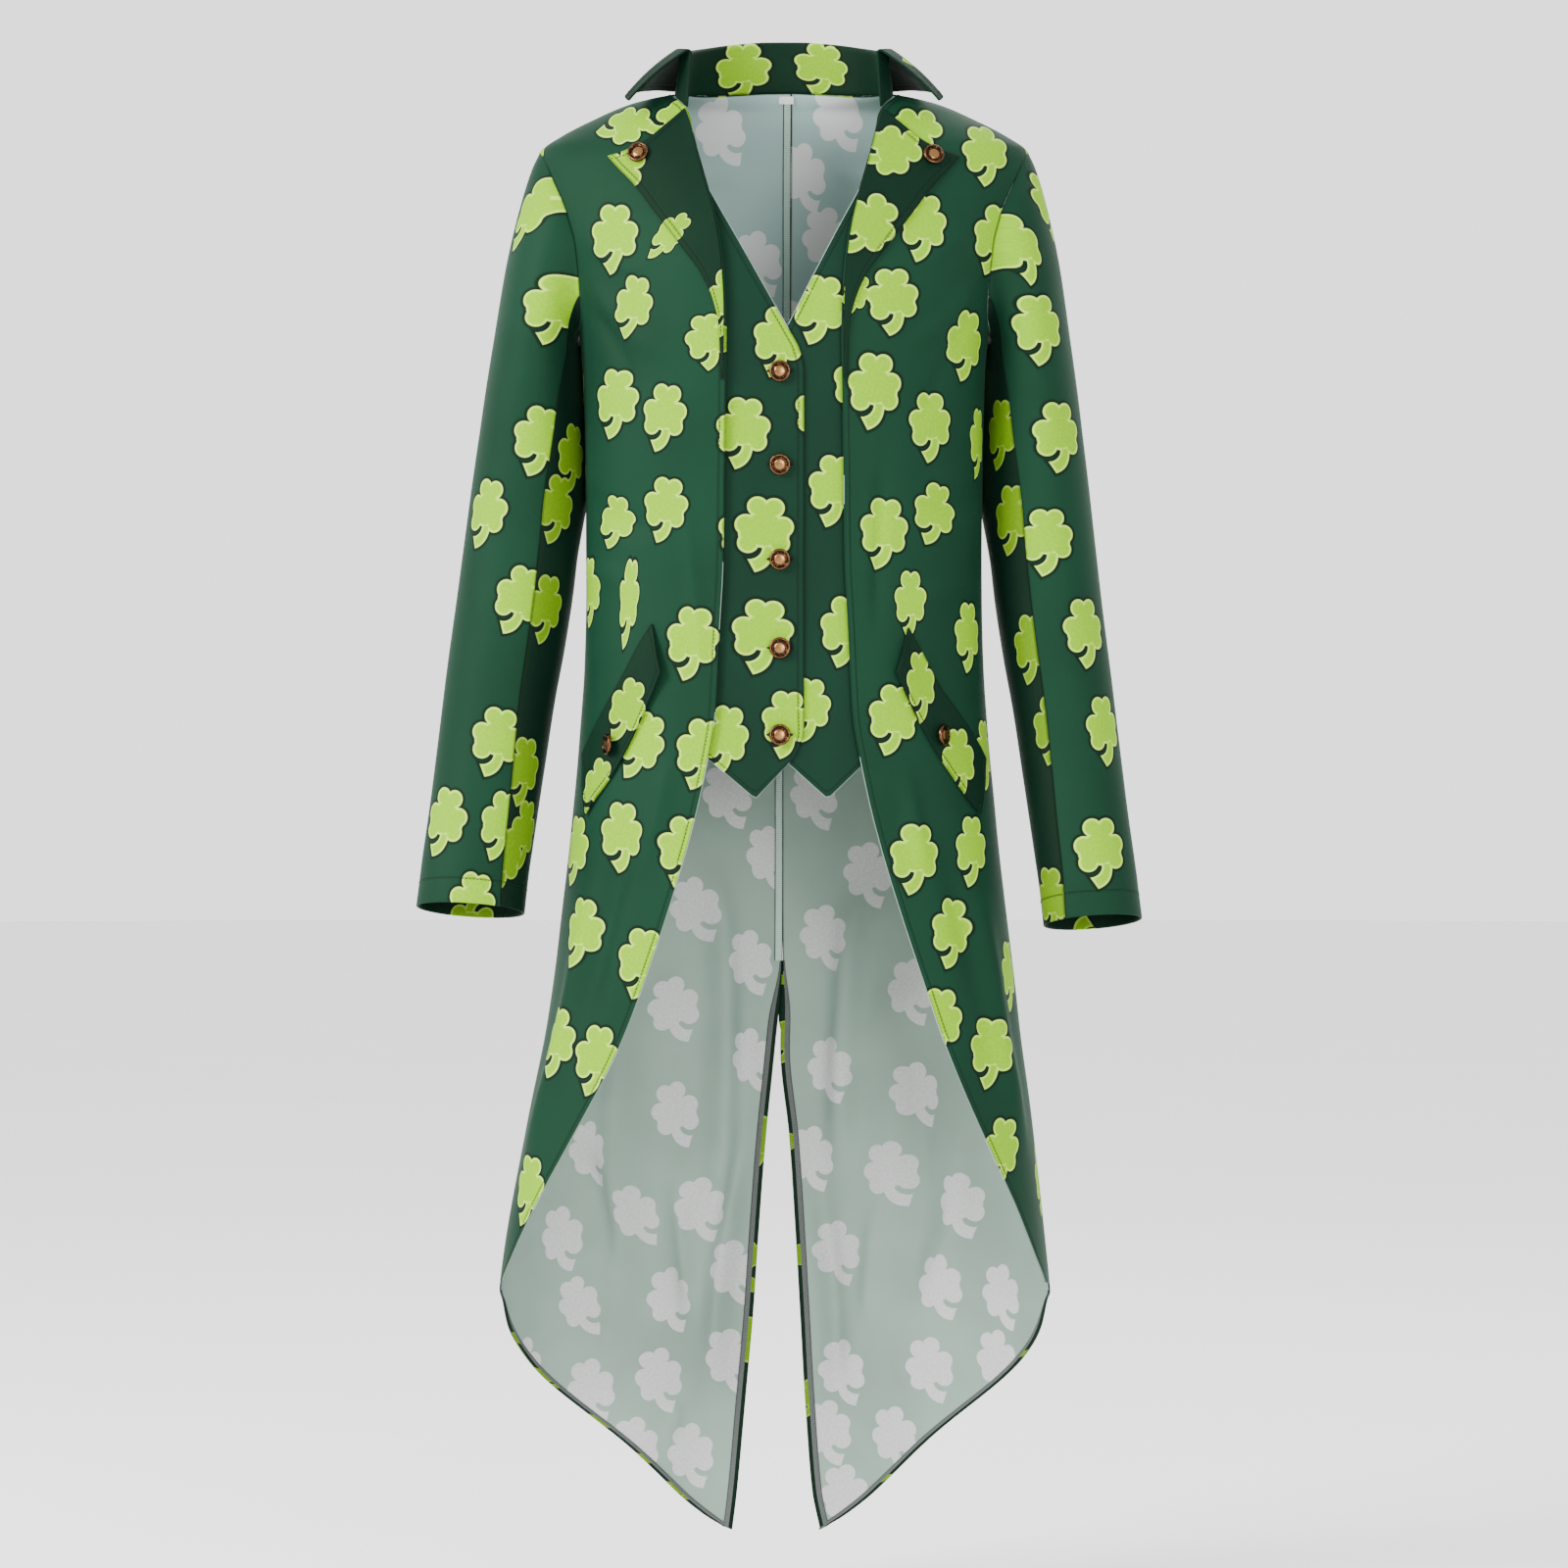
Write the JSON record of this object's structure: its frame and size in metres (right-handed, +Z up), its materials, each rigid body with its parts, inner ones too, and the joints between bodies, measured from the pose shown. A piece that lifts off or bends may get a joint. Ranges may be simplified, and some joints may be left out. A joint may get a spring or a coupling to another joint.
{
  "type": "tailcoat costume with attached waistcoat front",
  "caption": "Filled-out hollow tailcoat costume in shamrock print, with cutaway front, pointed tails, turned-down collar, buttoned-back lapels and attached waistcoat front.",
  "frame": {"origin": "midway between the two points where the shoulder seams meet the collar, at their height", "axes": "+Z up along the standing wearer, the front faces -Y, +X is the wearer's left"},
  "size_m": [0.6058, 0.2748, 1.2762],
  "materials": {
    "cloth": "satin",
    "vest": "satin",
    "button": "aged",
    "label": "matte"
  },
  "bodies": {
    "root": {"front_right": "cloth", "front_left": "cloth", "back_right": "cloth", "back_left": "cloth", "sleeve_upper_right": "cloth", "sleeve_upper_left": "cloth", "sleeve_under_right": "cloth", "sleeve_under_left": "cloth", "collar": "cloth", "lapel_right": "cloth", "lapel_left": "cloth", "pocket_flap_right": "cloth", "pocket_flap_left": "cloth", "vest_right": "vest", "vest_left": "vest", "vest_button_1": "button", "vest_button_2": "button", "vest_button_3": "button", "vest_button_4": "button", "vest_button_5": "button", "lapel_button_right": "button", "lapel_button_left": "button", "flap_button_right": "button", "flap_button_left": "button", "neck_label": "label"}
  },
  "joints": []
}
